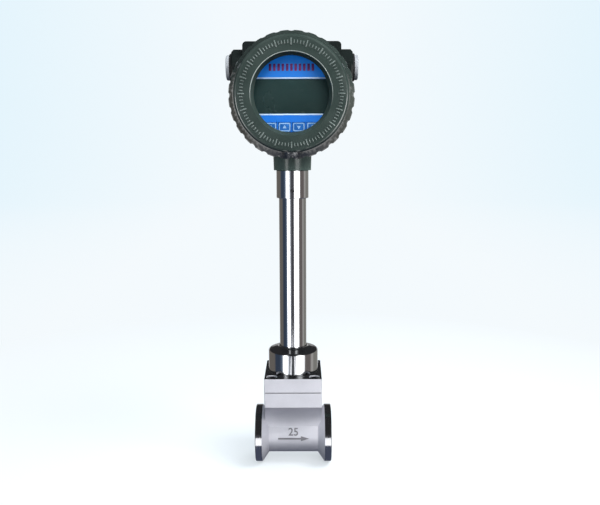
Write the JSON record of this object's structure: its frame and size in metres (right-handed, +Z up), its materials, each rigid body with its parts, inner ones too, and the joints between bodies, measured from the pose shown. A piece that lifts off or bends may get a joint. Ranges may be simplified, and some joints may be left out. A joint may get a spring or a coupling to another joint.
{
  "type": "vortex flow meter",
  "caption": "Wafer type vortex flow meter: clamp-in body with shedder bar and probe, upright stem and a swivelling round display head with screwed covers.",
  "frame": {"origin": "centre of the flow bore, half way between the clamping faces", "axes": "+X along the flow, +Z up along the stem, the display faces -Y"},
  "size_m": [0.1332, 0.114, 0.4432],
  "materials": {
    "blasted_steel": "bead-blasted stainless casting",
    "polished_steel": "turned and polished stainless steel",
    "dark_steel": "blackened steel",
    "painted_casting": "satin dark grey-green paint on cast aluminium",
    "black_rubber": "matte",
    "black_plastic": "moulded",
    "brass": "turned",
    "board": "coated circuit board",
    "display_dark": "dark display glass",
    "face_blue": "printed plastic",
    "key_blue": "printed plastic",
    "window": "clear toughened glass",
    "plug_grey": "moulded light grey"
  },
  "bodies": {
    "flow_tube": {"meter_body": "blasted_steel", "shedder_bar": "polished_steel", "sensor_probe": "polished_steel", "sensor_gasket": "black_rubber", "joint_gasket": "black_rubber", "bonnet_plate": "blasted_steel", "bonnet_hub": "polished_steel", "bonnet_screws": "dark_steel", "stem_tube": "polished_steel", "stem_collar": "polished_steel", "collar_screw": "dark_steel", "sensor_cable": "black_plastic"},
    "head": {"housing": "painted_casting", "neck_screw": "dark_steel", "display_posts": "brass", "display_board": "board", "lcd_panel": "display_dark", "key_switches": "black_plastic", "face_plate": "face_blue", "display_screws": "dark_steel", "amplifier_board": "board", "amplifier_parts": "black_plastic", "terminal_block": "black_plastic", "terminal_screws": "polished_steel"},
    "front_seal": {"front_oring": "black_rubber"},
    "front_lid": {"front_cover": "painted_casting", "window_glass": "window", "window_gasket": "black_rubber", "glass_ring": "painted_casting"},
    "rear_seal": {"rear_oring": "black_rubber"},
    "rear_lid": {"rear_cover": "painted_casting"},
    "left_seal": {"washer_left": "black_rubber"},
    "left_stopper": {"plug_left": "plug_grey"},
    "right_seal": {"washer_right": "black_rubber"},
    "right_stopper": {"plug_right": "plug_grey"},
    "button_1": {"key_1": "key_blue"},
    "button_2": {"key_2": "key_blue"},
    "button_3": {"key_3": "key_blue"},
    "button_4": {"key_4": "key_blue"}
  },
  "joints": [
    {"name": "head_swivel", "type": "hinge", "parent": "flow_tube", "child": "head", "pos_m": [0, 0, 0.2814], "axis": [0, 0, 1], "range_deg": [-175, 175]},
    {"name": "front_lid_travel", "type": "slide", "parent": "head", "child": "front_seal", "axis": [0, -1, 0], "range_m": [0, 0.01]},
    {"name": "front_lid_turn", "type": "hinge", "parent": "front_seal", "child": "front_lid", "pos_m": [0, -0.032, 0.353], "axis": [0, -1, 0], "range_deg": [0, 1800]},
    {"name": "rear_lid_travel", "type": "slide", "parent": "head", "child": "rear_seal", "axis": [0, 1, 0], "range_m": [0, 0.01]},
    {"name": "rear_lid_turn", "type": "hinge", "parent": "rear_seal", "child": "rear_lid", "pos_m": [0, 0.032, 0.353], "axis": [0, 1, 0], "range_deg": [0, 1800]},
    {"name": "left_stopper_travel", "type": "slide", "parent": "head", "child": "left_seal", "axis": [-1, 0, 0], "range_m": [0, 0.012]},
    {"name": "left_stopper_turn", "type": "hinge", "parent": "left_seal", "child": "left_stopper", "pos_m": [-0.061, 0.0105, 0.3845], "axis": [-1, 0, 0], "range_deg": [0, 2880]},
    {"name": "right_stopper_travel", "type": "slide", "parent": "head", "child": "right_seal", "axis": [1, 0, 0], "range_m": [0, 0.012]},
    {"name": "right_stopper_turn", "type": "hinge", "parent": "right_seal", "child": "right_stopper", "pos_m": [0.061, 0.0105, 0.3845], "axis": [1, 0, 0], "range_deg": [0, 2880]},
    {"name": "button_1_press", "type": "slide", "parent": "head", "child": "button_1", "axis": [0, 1, 0], "range_m": [0, 0.0005], "stiffness_N_per_m": 800, "springref_m": -0.0003},
    {"name": "button_2_press", "type": "slide", "parent": "head", "child": "button_2", "axis": [0, 1, 0], "range_m": [0, 0.0005], "stiffness_N_per_m": 800, "springref_m": -0.0003},
    {"name": "button_3_press", "type": "slide", "parent": "head", "child": "button_3", "axis": [0, 1, 0], "range_m": [0, 0.0005], "stiffness_N_per_m": 800, "springref_m": -0.0003},
    {"name": "button_4_press", "type": "slide", "parent": "head", "child": "button_4", "axis": [0, 1, 0], "range_m": [0, 0.0005], "stiffness_N_per_m": 800, "springref_m": -0.0003}
  ],
  "couplings": [
    {"joint": "front_lid_travel", "follows": "front_lid_turn", "m_per_rad": 0.0003183},
    {"joint": "rear_lid_travel", "follows": "rear_lid_turn", "m_per_rad": 0.0003183},
    {"joint": "left_stopper_travel", "follows": "left_stopper_turn", "m_per_rad": 0.0002387},
    {"joint": "right_stopper_travel", "follows": "right_stopper_turn", "m_per_rad": 0.0002387}
  ]
}
